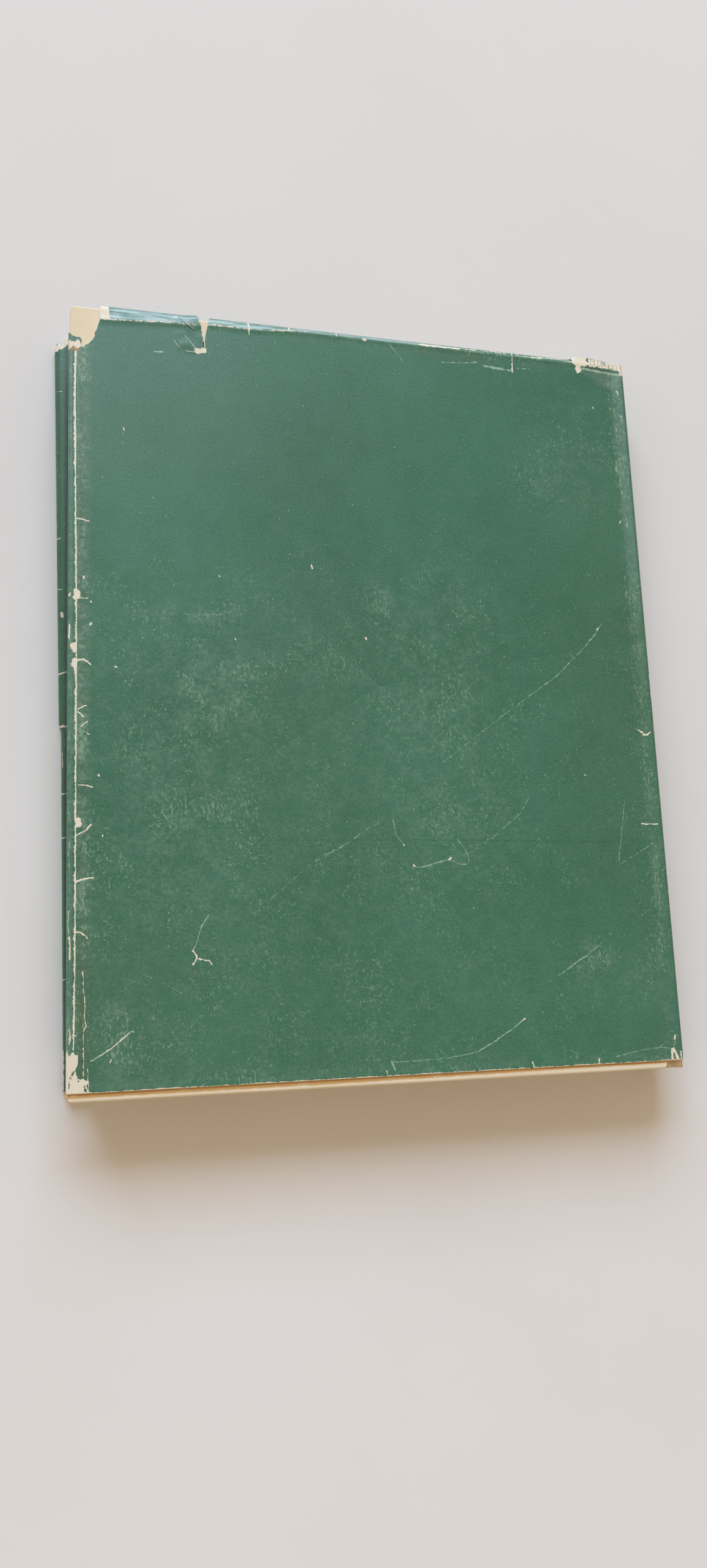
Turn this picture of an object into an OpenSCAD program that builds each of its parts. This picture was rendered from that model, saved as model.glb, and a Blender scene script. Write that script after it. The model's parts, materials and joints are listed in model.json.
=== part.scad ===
// Case-bound hardback book in a worn paper dust jacket, lying on its front cover.
// +X runs from the fore edge to the spine, +Y from tail to head, +Z up.
// The origin is the middle of the footprint, on the surface the book lies on.

/* [Boards] */
// Height of the bare cover boards, tail to head
board_h = 240; // [180:1:300]
// Width of the bare cover boards, fore edge to joint
board_w = 183; // [130:1:230]
// Thickness of the bare cover boards
board_t = 2.4; // [1.8:0.1:3.2]
// Plan radius of the covered boards' corners
corner_r = 1.6; // [1:0.1:4]

/* [Pages] */
// Thickness of the stack of pages, without the flyleaves
pages_t = 12.1; // [10:0.1:30]
// How far the covers stand past the pages at head, tail and fore edge
square_w = 3; // [2:0.1:5]
// How far the rounded back swells past the shoulders
back_round = 1.25; // [0.9:0.05:1.6]
// How far the fore edge is hollowed
fore_hollow = 1.1; // [0.6:0.05:1.6]

/* [Covering and endpapers] */
// Thickness of the covering cloth
cloth_t = 0.4; // [0.3:0.05:0.5]
// Width of the cloth turned in over the boards
turn_in = 15; // [10:0.5:25]
// Radius of the cloth where it turns over a board's arris
arris_r = 0.6; // [0.4:0.05:0.9]
// Thickness of the pasted-down endpapers
paste_t = 0.2; // [0.15:0.05:0.3]
// Cloth left bare round each pasted-down endpaper
paste_margin = 3; // [2:0.5:6]
// Thickness of the free flyleaves
leaf_t = 0.15; // [0.1:0.05:0.3]

/* [Spine] */
// Width of the joint, from a covered board to the shoulder of the pages
joint_w = 5.2; // [5:0.1:6]
// Thickness of the gauze glued on the back of the pages
mull_t = 0.25; // [0.2:0.05:0.4]
// How far the gauze stops short of head and tail
mull_short = 13; // [8:0.5:25]
// Thickness of the paper glued over the gauze
lining_t = 0.3; // [0.2:0.05:0.4]
// Gap between the lined back and the stiffener in the case
hollow_back = 0.35; // [0.25:0.05:0.6]
// Thickness of the card stiffener in the spine of the case
inlay_t = 0.8; // [0.5:0.05:1]
// How far the stiffener's edges stand in from the faces of the bare boards
inlay_inset = 0.35; // [0.2:0.05:0.6]
// Radius of the headband beads
bead_r = 0.9; // [0.6:0.05:1.2]
// Length of the headband tape glued down the back
band_tape = 12; // [8:0.5:20]

/* [Dust jacket] */
// Thickness of the jacket paper
jacket_t = 0.25; // [0.15:0.05:0.35]
// Width of the flaps folded in behind the covers
flap_w = 80; // [50:1:110]
// How far the jacket stops short of the boards at the tail
tail_short = 2.4; // [1:0.1:4]
// How far the jacket stands past the boards at the head before it curls
head_curl = 1.7; // [1:0.1:2]
// Length of the curled head edge below the bend
curl_drop = 0.7; // [0.3:0.1:1]
// Skew of the front jacket fold, which stands proud at the head
fold_skew = 0.8; // [0:0.1:1]
// Clearance of the jacket round the boards' fore edges
wrap_gap = 0.1; // [0.05:0.05:0.3]
// Air between the jacket and the spine of the case
spine_air = 0.2; // [0.1:0.05:0.3]

/* [Wear of the jacket] */
// Width of the corner lost from the back jacket at head and fore edge
corner_loss_w = 9.4; // [8:0.1:14]
// Height of that lost corner
corner_loss_h = 15.2; // [9:0.1:18]
// Unevenness of its torn edge, as a share of its size
torn_ripple = 0.035; // [0:0.005:0.05]
// Distance from the fore edge to the torn notch in the head
tear_from_fore = 40.5; // [30:0.5:120]
// Width of the torn notch at the head edge
tear_w = 5; // [3:0.1:7]
// Depth of the torn notch
tear_h = 5.4; // [3:0.1:12]
// Width of the chip lost at head and spine, on the cover's side of the joint
chip_w = 13.5; // [6:0.1:20]
// Depth of that chip
chip_h = 3.2; // [2:0.1:5]
// Width of the piece lost from the front jacket's fold at the head
fold_loss_w = 7.5; // [5:0.1:12]
// Depth of that lost piece
fold_loss_h = 4; // [2:0.1:8]

/* [Clearances] */
// Gap between each closed cover and the pages
cover_gap = 0.3; // [0.2:0.05:0.6]
// How far the jacket's panels reach over the joint, past the covered boards
jacket_reach = 1; // [0.7:0.1:1.1]
// Gap between the jacket's panels and its spine, over the joint
jacket_part = 1.7; // [1.6:0.1:2]
// Gap between the cloth of each cover and the cloth of the spine, in the joint
turn_gap = 0.6; // [0.5:0.05:1]

/* [Hidden] */
$fn = 96;
over = 1;

jacket_green = [0.22, 0.44, 0.34];
cloth_cream = [0.91, 0.86, 0.76];
page_ivory = [0.89, 0.82, 0.66];
endpaper_white = [0.93, 0.9, 0.82];
board_grey = [0.6, 0.55, 0.47];
gauze_buff = [0.86, 0.82, 0.72];
kraft_brown = [0.67, 0.53, 0.36];
band_straw = [0.72, 0.62, 0.42];

// Heights of the layers of one cover, up from its outer face
z_cloth = jacket_t;
z_board = z_cloth + cloth_t;
z_inner = z_board + board_t;
z_turn = z_inner + cloth_t;
z_paste = z_turn + paste_t;
z_flap = z_paste + jacket_t;
z_block = z_flap + cover_gap;
block_t = pages_t + 2 * leaf_t;
book_t = block_t + 2 * z_block;
mid_z = book_t / 2;

// Rounded back of the pages, and the layers that follow it
back_r = (pow(block_t / 2, 2) + pow(back_round, 2)) / (2 * back_round);
hollow_r = (pow(block_t / 2, 2) + pow(fore_hollow, 2)) / (2 * fore_hollow);
mull_r = back_r + mull_t;
lining_r = mull_r + lining_t;
inlay_in_r = lining_r + hollow_back;
inlay_out_r = inlay_in_r + inlay_t;
cloth_out_r = inlay_out_r + cloth_t;
jacket_in_r = cloth_out_r + spine_air;
jacket_out_r = jacket_in_r + jacket_t;

// Plan of the covers and the pages
cover_w = board_w + 2 * cloth_t;
cover_h = board_h + 2 * cloth_t;
fold_proud = cover_h * sin(fold_skew);
wrap_t = wrap_gap + jacket_t;
spine_rise = back_round - back_r + jacket_out_r;
whole_w = fold_proud + wrap_t + cover_w + joint_w + spine_rise;
whole_h = cover_h + head_curl + jacket_t;
fore_x = -whole_w / 2 + fold_proud + wrap_t;
joint_x = fore_x + cover_w;
hinge_x = joint_x + joint_w;
arc_x = hinge_x + back_round - back_r;
tail_y = -whole_h / 2;
head_y = tail_y + cover_h;
page_x = fore_x + square_w;
page_tail = tail_y + square_w;
page_head = head_y - square_w;
jacket_tail = tail_y + tail_short;
jacket_head = head_y + head_curl;

// Each cover turns about the shoulder of the pages, and the jacket is parted clear of its path
jacket_edge_x = joint_x + jacket_reach;
part_x = jacket_edge_x + jacket_part;
inlay_half = mid_z - z_board - inlay_inset;

// Flat panels of the jacket begin this far in from the fore edge
panel_in = 5;
fold_arm = panel_in + fold_proud + over;
// Cuts in the jacket run this far past its edges
past = fold_proud + wrap_t + head_curl + jacket_t + over;

// Draws its 2D child, given as (x, z), from y0 to y1
module along_y(y0, y1) {
    translate([0, y1, 0]) rotate([90, 0, 0]) linear_extrude(y1 - y0) children();
}

// Draws its 2D child, given as (y, z), from x0 to x1
module along_x(x0, x1) {
    translate([x0, 0, 0]) rotate([90, 0, 90]) linear_extrude(x1 - x0) children();
}

module block_box(x0, x1, y0, y1, z0, z1) {
    translate([x0, y0, z0]) cube([x1 - x0, y1 - y0, z1 - z0]);
}

// Rectangle whose corners at its low end are rounded
module rounded_low(x0, x1, z0, z1, r) {
    translate([x0 + r, z0]) square([x1 - x0 - r, z1 - z0]);
    translate([x0, z0 + r]) square([r + over, z1 - z0 - 2 * r]);
    for (z = [z0 + r, z1 - r]) translate([x0 + r, z]) circle(r);
}

// Rectangle with all four corners rounded
module rounded_all(x0, x1, z0, z1, r) {
    translate([x0 + r, z0]) square([x1 - x0 - 2 * r, z1 - z0]);
    translate([x0, z0 + r]) square([x1 - x0, z1 - z0 - 2 * r]);
    for (x = [x0 + r, x1 - r], z = [z0 + r, z1 - r]) translate([x, z]) circle(r);
}

// Ring sector of the rounded back, between two radii and within half_z of the middle
module back_ring(r0, r1, half_z) {
    intersection() {
        translate([arc_x, mid_z]) difference() {
            circle(r1);
            circle(r0);
        }
        translate([arc_x + r0 / 4, mid_z - half_z]) square([r1, 2 * half_z]);
    }
}

// Turns a part of the front cover over into its twin on the back cover
module upper() {
    translate([0, 0, book_t]) mirror([0, 0, 1]) children();
}

module text_block() {
    color(page_ivory) along_y(page_tail, page_head) difference() {
        union() {
            translate([page_x, mid_z - pages_t / 2]) square([hinge_x - page_x, pages_t]);
            intersection() {
                translate([arc_x, mid_z]) circle(back_r);
                translate([hinge_x - over, mid_z - pages_t / 2]) square([2 * back_round + over, pages_t]);
            }
        }
        translate([page_x + fore_hollow - hollow_r, mid_z]) circle(hollow_r);
    }
}

module flyleaf() {
    color(endpaper_white) block_box(page_x, hinge_x, page_tail, page_head, z_block, z_block + leaf_t);
}

// Bead that sits on the end of the pages, with its tape glued down the back
module head_band() {
    bead_arc = asin(pages_t / 2 / back_r);
    bead_path = mull_r - bead_r;
    color(band_straw) {
        translate([arc_x, page_head + bead_r, mid_z]) rotate([90, 0, 0]) rotate([0, 0, -bead_arc])
            rotate_extrude(angle = 2 * bead_arc) translate([bead_path, 0]) circle(bead_r, $fn = 48);
        along_y(page_head - band_tape, page_head + bead_r) back_ring(back_r, mull_r, pages_t / 2);
    }
}

module tail_band() {
    translate([0, page_head + page_tail, 0]) mirror([0, 1, 0]) head_band();
}

module spine_mull() {
    color(gauze_buff) along_y(page_tail + mull_short, page_head - mull_short)
        back_ring(back_r, mull_r, block_t / 2);
}

module spine_lining() {
    color(kraft_brown) along_y(page_tail, page_head) back_ring(mull_r, lining_r, block_t / 2);
}

module spine_inlay() {
    color(board_grey) along_y(tail_y + cloth_t, head_y - cloth_t)
        back_ring(inlay_in_r, inlay_out_r, inlay_half);
}

// Case cloth over the stiffener, tucked down into both joints
module spine_cloth_profile() {
    top_half = inlay_half + cloth_t;
    wall_x = arc_x + sqrt(pow(inlay_in_r, 2) - pow(inlay_half, 2));
    floor_z = z_block - cloth_t;
    back_ring(inlay_out_r, cloth_out_r, top_half);
    for (side = [0, 1]) translate([0, side * book_t]) mirror([0, side]) {
        translate([wall_x - cloth_t, mid_z - top_half])
            square([arc_x + sqrt(pow(cloth_out_r, 2) - pow(top_half, 2)) - wall_x + cloth_t, cloth_t]);
        translate([wall_x - cloth_t, mid_z - top_half])
            square([cloth_t, floor_z + cloth_t - mid_z + top_half]);
        translate([joint_x + turn_gap, floor_z]) square([wall_x - joint_x - turn_gap, cloth_t]);
    }
}

module spine_cloth() {
    color(cloth_cream) {
        along_y(tail_y, head_y) spine_cloth_profile();
        for (y = [tail_y, head_y - cloth_t])
            along_y(y, y + cloth_t) back_ring(inlay_in_r, cloth_out_r, inlay_half);
    }
}

// Plan outline of a covered board
module cover_plan(inset) {
    rounded_all(fore_x + inset, joint_x - inset, tail_y + inset, head_y - inset, corner_r - inset);
}

module cover_board() {
    color(board_grey) translate([0, 0, z_board]) linear_extrude(board_t) cover_plan(cloth_t);
}

// Cloth drawn over the board, its three edges turned in behind
module cover_cloth() {
    color(cloth_cream) difference() {
        intersection() {
            translate([0, 0, z_cloth]) linear_extrude(z_turn - z_cloth) cover_plan(0);
            along_y(tail_y - over, head_y + over)
                rounded_low(fore_x, joint_x, z_cloth, z_turn, arris_r, $fn = 12);
            along_x(fore_x - over, joint_x + over)
                rounded_all(tail_y, head_y, z_cloth, z_turn, arris_r, $fn = 12);
        }
        translate([0, 0, z_board]) linear_extrude(board_t) cover_plan(cloth_t);
        block_box(fore_x + turn_in, joint_x + over, tail_y + turn_in, head_y - turn_in, z_inner, z_turn + over);
    }
}

// Endpaper pasted over the turn-ins, sunk onto the board inside them
module pastedown() {
    color(endpaper_white) difference() {
        union() {
            block_box(fore_x + paste_margin, joint_x, tail_y + paste_margin, head_y - paste_margin, z_turn, z_paste);
            block_box(fore_x + turn_in, joint_x, tail_y + turn_in, head_y - turn_in, z_inner, z_paste);
        }
        block_box(
            fore_x + turn_in + paste_t, joint_x + over,
            tail_y + turn_in + paste_t, head_y - turn_in - paste_t,
            z_inner + paste_t, z_paste + over
        );
    }
}

// Jacket paper folded round the fore edge of a cover, swung by skew about its tail
module jacket_fold(skew) {
    difference() {
        intersection() {
            translate([fore_x, tail_y, 0]) rotate([0, 0, skew]) translate([-fore_x, -tail_y, 0])
                along_y(tail_y - over, jacket_head + over) difference() {
                    rounded_low(fore_x - wrap_t, fore_x + fold_arm, 0, z_flap, arris_r + jacket_t);
                    rounded_low(fore_x - wrap_gap, fore_x + fold_arm + over, z_cloth, z_paste, arris_r);
                }
            block_box(fore_x - past, fore_x + fold_arm, jacket_tail, jacket_head, -over, z_flap + over);
        }
        block_box(fore_x + arris_r, fore_x + fold_arm + over, head_y, jacket_head + over, -over, jacket_t + over);
    }
}

// Head edge of a jacket panel, curled over the head of the cover, with a root inside the panel
module head_curl_profile() {
    bend_r = head_curl + jacket_t;
    translate([head_y - over, 0]) square([over, jacket_t]);
    intersection() {
        translate([head_y, bend_r]) difference() {
            circle(bend_r);
            circle(head_curl);
        }
        translate([head_y, 0]) square([bend_r, bend_r]);
    }
    translate([head_y + head_curl, bend_r]) square([jacket_t, curl_drop]);
}

module jacket_cover(skew) {
    block_box(fore_x + panel_in, jacket_edge_x, jacket_tail, head_y, 0, jacket_t);
    along_x(fore_x + arris_r, jacket_edge_x) head_curl_profile();
    jacket_fold(skew);
    block_box(fore_x + panel_in, fore_x + flap_w, jacket_tail, jacket_head, z_paste, z_flap);
}

// Piece of the back jacket lost at the head and fore edge corner
module corner_loss() {
    torn = [for (a = [0:9:90]) let (r = 1 + torn_ripple * sin(11 * a))
        [corner_loss_w * r * cos(a), -corner_loss_h * r * sin(a)]];
    translate([fore_x, head_y, 0]) linear_extrude(2 * z_flap, center = true)
        polygon(concat([[-past, -corner_loss_h], [-past, past], [corner_loss_w, past]], torn));
}

// Torn notch in the head of the back jacket
module head_tear() {
    translate([fore_x + tear_from_fore, head_y, 0]) linear_extrude(2 * z_flap, center = true) polygon([
        [-tear_w / 2, past], [tear_w / 2, past], [tear_w * 0.4, 0], [tear_w / 4, -tear_h / 2],
        [tear_w / 6, -tear_h], [0, -tear_h * 0.75], [-tear_w / 5, -tear_h / 5]
    ]);
}

module front_jacket() {
    color(jacket_green) difference() {
        jacket_cover(fold_skew);
        block_box(fore_x - past, fore_x + fold_loss_w, head_y - fold_loss_h, head_y + past, z_board, z_flap + over);
    }
}

module back_jacket() {
    color(jacket_green) difference() {
        jacket_cover(0);
        corner_loss();
        head_tear();
        block_box(jacket_edge_x - chip_w, jacket_edge_x + over, head_y - chip_h, head_y + past, -over, z_flap);
    }
}

// Jacket round the spine, from the front joint to the back joint
module jacket_spine() {
    lip_end = arc_x + sqrt(pow(jacket_out_r, 2) - pow(mid_z, 2));
    color(jacket_green) difference() {
        along_y(jacket_tail, jacket_head) {
            back_ring(jacket_in_r, jacket_out_r, mid_z);
            for (z = [0, book_t - jacket_t]) translate([part_x, z]) square([lip_end - part_x, jacket_t]);
        }
        block_box(part_x - over, lip_end, head_y - chip_h, head_y + past, book_t - over, book_t + over);
    }
}

text_block();
flyleaf();  // front_flyleaf
upper() flyleaf();  // back_flyleaf
head_band();
tail_band();
spine_mull();
spine_lining();
spine_inlay();
spine_cloth();
jacket_spine();
cover_board();  // front_board
cover_cloth();  // front_cloth
pastedown();  // front_pastedown
front_jacket();  // jacket_front
upper() cover_board();  // back_board
upper() cover_cloth();  // back_cloth
upper() pastedown();  // back_pastedown
upper() back_jacket();  // jacket_back
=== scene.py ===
import bpy
import bmesh
import json
import math
from bisect import bisect_right
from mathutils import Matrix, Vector, noise


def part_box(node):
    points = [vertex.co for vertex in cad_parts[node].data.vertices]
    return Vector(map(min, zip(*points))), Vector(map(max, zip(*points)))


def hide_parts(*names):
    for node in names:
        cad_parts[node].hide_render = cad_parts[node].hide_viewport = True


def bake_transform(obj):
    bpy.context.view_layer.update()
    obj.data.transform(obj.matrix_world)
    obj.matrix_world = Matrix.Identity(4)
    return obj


# A worn hardback in a plain green dust jacket, lying on its front cover with its back cover up.
# X runs from the fore edge to the spine, Y from tail to head, Z up, all in metres.

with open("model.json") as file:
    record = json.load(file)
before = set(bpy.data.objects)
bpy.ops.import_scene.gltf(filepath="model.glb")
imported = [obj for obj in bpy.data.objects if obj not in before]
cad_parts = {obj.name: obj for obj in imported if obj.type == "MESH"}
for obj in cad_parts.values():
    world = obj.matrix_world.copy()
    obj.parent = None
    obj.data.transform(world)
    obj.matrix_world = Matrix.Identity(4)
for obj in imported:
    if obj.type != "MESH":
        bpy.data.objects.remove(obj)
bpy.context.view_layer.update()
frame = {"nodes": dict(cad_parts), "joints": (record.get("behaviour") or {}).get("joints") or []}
nodes = frame["nodes"]
mm = 0.001

# Lines that the solids give: the covered boards, the turning line and the rounded back
hingeX = {joint["name"]: joint for joint in frame["joints"]}["back_cover_hinge"]["pos_m"][0]
clothLow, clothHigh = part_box("back_cloth")
foreX, jointX = clothLow.x, clothHigh.x
tailY, headY = clothLow.y, clothHigh.y
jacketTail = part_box("jacket_back")[0].y          # the jacket has slid up towards the head
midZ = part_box("jacket_back")[1].z / 2
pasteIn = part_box("back_pastedown")[0].z - midZ   # inner face of a pasted endpaper, from the middle plane
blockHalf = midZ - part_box("front_flyleaf")[0].z
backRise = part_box("text_block")[1].x - hingeX
arcX = hingeX + backRise - (blockHalf ** 2 + backRise ** 2) / (2 * backRise)
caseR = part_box("spine_cloth")[1].x - arcX        # outer radius of the case's spine
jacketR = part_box("jacket_spine")[1].x - arcX
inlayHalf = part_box("spine_inlay")[1].z - midZ
sides = {"Back": 1, "Front": -1}                 # which way is outward, from the middle plane


def addObject(name, data):
    thing = bpy.data.objects.new(name, data)
    bpy.context.scene.collection.objects.link(thing)
    return thing


def softStep(low, high, value):
    t = min(1.0, max(0.0, (value - low) / (high - low)))
    return t * t * (3 - 2 * t)


def mound(value, centre, width):
    return math.exp(-((value - centre) / width) ** 2)


def within(low, high, soft, value):
    return softStep(low - soft, low + soft, value) * (1 - softStep(high - soft, high + soft, value))


def ripple(x, y, size, seed=0.0):
    return noise.noise(Vector((x / size, y / size, seed)))


# Small helpers for node trees

def newGroup(name, inputs, output):
    group = bpy.data.node_groups.new(name, "ShaderNodeTree")
    for label, value in inputs:
        kind = "NodeSocketVector" if value is None or isinstance(value, tuple) else "NodeSocketFloat"
        socket = group.interface.new_socket(label, in_out="INPUT", socket_type=kind)
        if value is not None:
            socket.default_value = value
    group.interface.new_socket(output, in_out="OUTPUT", socket_type="NodeSocketFloat")
    return group, group.nodes.new("NodeGroupInput").outputs, group.nodes.new("NodeGroupOutput").inputs


def setSocket(tree, socket, value):
    if isinstance(value, bpy.types.NodeSocket):
        tree.links.new(value, socket)
    else:
        socket.default_value = value


def addNode(tree, kind, settings, *values, **named):
    node = tree.nodes.new(kind)
    for key, value in settings.items():
        setattr(node, key, value)
    for place, value in enumerate(values):
        setSocket(tree, node.inputs[place], value)
    for key, value in named.items():
        setSocket(tree, node.inputs[key], value)
    return node


def maths(tree, operation, a, b=0.0, clamp=False):
    return addNode(tree, "ShaderNodeMath", {"operation": operation, "use_clamp": clamp}, a, b).outputs[0]


def times(tree, a, b, clamp=False):
    return maths(tree, "MULTIPLY", a, b, clamp)


def plus(tree, a, b, clamp=False):
    return maths(tree, "ADD", a, b, clamp)


def minus(tree, a, b, clamp=False):
    return maths(tree, "SUBTRACT", a, b, clamp)


def addShare(tree, whole, part, share):
    return plus(tree, whole, times(tree, part, share))


def vectors(tree, operation, a, b):
    return addNode(tree, "ShaderNodeVectorMath", {"operation": operation}, a, b).outputs


def scaled(tree, vector, factor):
    return addNode(tree, "ShaderNodeVectorMath", {"operation": "SCALE"}, vector, Scale=factor).outputs[0]


def axes(tree, vector):
    return addNode(tree, "ShaderNodeSeparateXYZ", {}, vector).outputs


def ramp(tree, value, low, high, start=0.0, end=1.0):
    settings = {"interpolation_type": "SMOOTHSTEP"}
    return addNode(tree, "ShaderNodeMapRange", settings, value, low, high, start, end).outputs[0]


def mixColour(tree, factor, a, b):
    node = addNode(tree, "ShaderNodeMix", {"data_type": "RGBA"}, factor)
    setSocket(tree, node.inputs[6], a)
    setSocket(tree, node.inputs[7], b)
    return node.outputs[2]


def cloudNode(tree, place, scale, detail=4.0, rough=0.55):
    return addNode(tree, "ShaderNodeTexNoise", {}, Vector=place, Scale=scale, Detail=detail, Roughness=rough)


def cloudy(tree, place, scale, detail=4.0, rough=0.55):
    return cloudNode(tree, place, scale, detail, rough).outputs[0]


def stretched(tree, place, scale):
    return addNode(tree, "ShaderNodeMapping", {}, place, Scale=scale).outputs[0]


def colour(red, green, blue):
    def linear(v):
        v = v / 255
        return v / 12.92 if v <= 0.04045 else ((v + 0.055) / 1.055) ** 2.4
    return (linear(red), linear(green), linear(blue), 1.0)


# Effects that several materials share

def makeMottle():
    group, given, out = newGroup("ageMottle", [("Place", None), ("Scale", 30.0), ("Strength", 0.5)], "Mask")
    cloud = cloudy(group, given[0], given[1], 5.0, 0.6)
    group.links.new(times(group, ramp(group, cloud, 0.32, 0.72), given[2]), out[0])
    return group


# Scales are noise cells a metre
fleckLook = {
    "patches": 62.0,
    "dashes": 1500.0,
    "dashSlim": (1.0, 0.34, 1.0),    # they run along Y
    "specks": 330.0,
    "curls": 640.0,
    "curlGates": 760.0,              # a curl shows only where this noise is high
}


def makeFlecks():
    # Short pale dashes, thin curls and a few round specks, denser in patches
    group, given, out = newGroup("paleFlecks", [("Place", None), ("Density", 0.3)], "Mask")
    patch = ramp(group, cloudy(group, given[0], fleckLook["patches"], 3.0), 0.4, 0.66, 0.12, 1.6)
    density = times(group, given[1], patch)
    grain = cloudy(group, stretched(group, given[0], fleckLook["dashSlim"]), fleckLook["dashes"], 2.0, 0.6)
    least = minus(group, 0.7, times(group, density, 0.2))
    dashes = times(group, minus(group, grain, least), 11.0, True)
    flat = {"voronoi_dimensions": "2D"}
    cells = addNode(group, "ShaderNodeTexVoronoi", flat, Vector=given[0], Scale=fleckLook["specks"])
    draws = axes(group, cells.outputs["Color"])
    reach = addShare(group, 0.03, draws[1], 0.07)
    spot = maths(group, "LESS_THAN", cells.outputs["Distance"], reach)
    chosen = maths(group, "LESS_THAN", draws[0], times(group, density, 0.3))
    contour = minus(group, cloudy(group, given[0], fleckLook["curls"], 2.0), 0.5)
    curls = ramp(group, maths(group, "ABSOLUTE", contour), 0.012, 0.035, 0.8, 0.0)
    gate = addShare(group, cloudy(group, given[0], fleckLook["curlGates"], 3.0), density, 0.13)
    curls = times(group, curls, ramp(group, gate, 0.6, 0.66))
    curls = times(group, curls, ramp(group, density, 0.04, 0.3))
    dashes = maths(group, "MAXIMUM", dashes, curls)
    group.links.new(maths(group, "MAXIMUM", dashes, times(group, spot, chosen)), out[0])
    return group


def makeWeave():
    group, given, out = newGroup("clothWeave", [("Place", None), ("Threads", 2600.0)], "Height")
    turn = times(group, given[1], math.pi)
    height = times(group, cloudy(group, given[0], 900.0, 3.0), 1.4)
    for axis in axes(group, given[0]):
        wave = maths(group, "ABSOLUTE", maths(group, "SINE", times(group, axis, turn)))
        height = plus(group, height, wave)
    group.links.new(height, out[0])
    return group


def makeWearAndShadeLine():
    # A soft line along Reach from Start, by the distance from that segment
    inputs = [
        ("Place", None), ("Start", (0, 0, 0)), ("Reach", (0, 0, 0)), ("Width", 0.0004), ("Strength", 1.0),
        ("Under", 0.0),
    ]
    group, given, out = newGroup("wornLine", inputs, "Mask")
    away = vectors(group, "SUBTRACT", given[0], given[1])[0]
    along = vectors(group, "DOT_PRODUCT", away, given[2])[1]
    whole = vectors(group, "DOT_PRODUCT", given[2], given[2])[1]
    share = maths(group, "DIVIDE", along, whole, True)
    distance = vectors(group, "DISTANCE", away, scaled(group, given[2], share))[1]
    near = minus(group, 1.0, maths(group, "DIVIDE", distance, given[3]), True)
    line = times(group, near, given[4])
    group.links.new(maths(group, "MAXIMUM", line, given[5]), out[0])
    return group


groups = {"mottle": makeMottle(), "flecks": makeFlecks(), "weave": makeWeave(), "line": makeWearAndShadeLine()}


def useGroup(tree, name, *values):
    node = tree.nodes.new("ShaderNodeGroup")
    node.node_tree = groups[name]
    for place, value in enumerate(values):
        setSocket(tree, node.inputs[place], value)
    return node.outputs[0]


def wearAndShadeLines(tree, place, lines, zone, under):
    # Only the lines that reach into the zone, given by its low and high corners in mm
    mask = under
    for strength, width, *points in lines:
        for a, b in zip(points, points[1:]):
            before = any(max(a[k], b[k]) < zone[0][k] - width for k in (0, 1))
            beyond = any(min(a[k], b[k]) > zone[1][k] + width for k in (0, 1))
            if not before and not beyond:
                start = Vector((a[0] * mm, a[1] * mm, 0))
                reach = Vector((b[0] * mm, b[1] * mm, 0)) - start
                mask = useGroup(tree, "line", place, start, reach, width * mm, strength, mask)
    return mask


def newMaterial(name, rough=0.6, specular=0.4, sheen=0.0):
    material = bpy.data.materials.new(name)
    material.use_nodes = True
    shader = material.node_tree.nodes["Principled BSDF"]
    shader.inputs["Roughness"].default_value = rough
    shader.inputs["Specular IOR Level"].default_value = specular
    shader.inputs["Sheen Weight"].default_value = sheen
    return material, material.node_tree, shader


def finish(tree, shader, base, height, depth, rough=None, strength=0.5):
    # Colour, roughness and a relief of the given depth in metres
    tree.links.new(base, shader.inputs["Base Color"])
    if rough is not None:
        tree.links.new(rough, shader.inputs["Roughness"])
    bump = addNode(tree, "ShaderNodeBump", {}, Height=height, Strength=strength, Distance=depth)
    tree.links.new(bump.outputs[0], shader.inputs["Normal"])


def objectPlace(tree):
    return addNode(tree, "ShaderNodeTexCoord", {}).outputs["Object"]


def sheetPlace(tree):
    return addNode(tree, "ShaderNodeUVMap", {"uv_map": "sheet"}).outputs[0]


def attribute(tree, name):
    return addNode(tree, "ShaderNodeAttribute", {"attribute_name": name}).outputs["Fac"]
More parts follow.
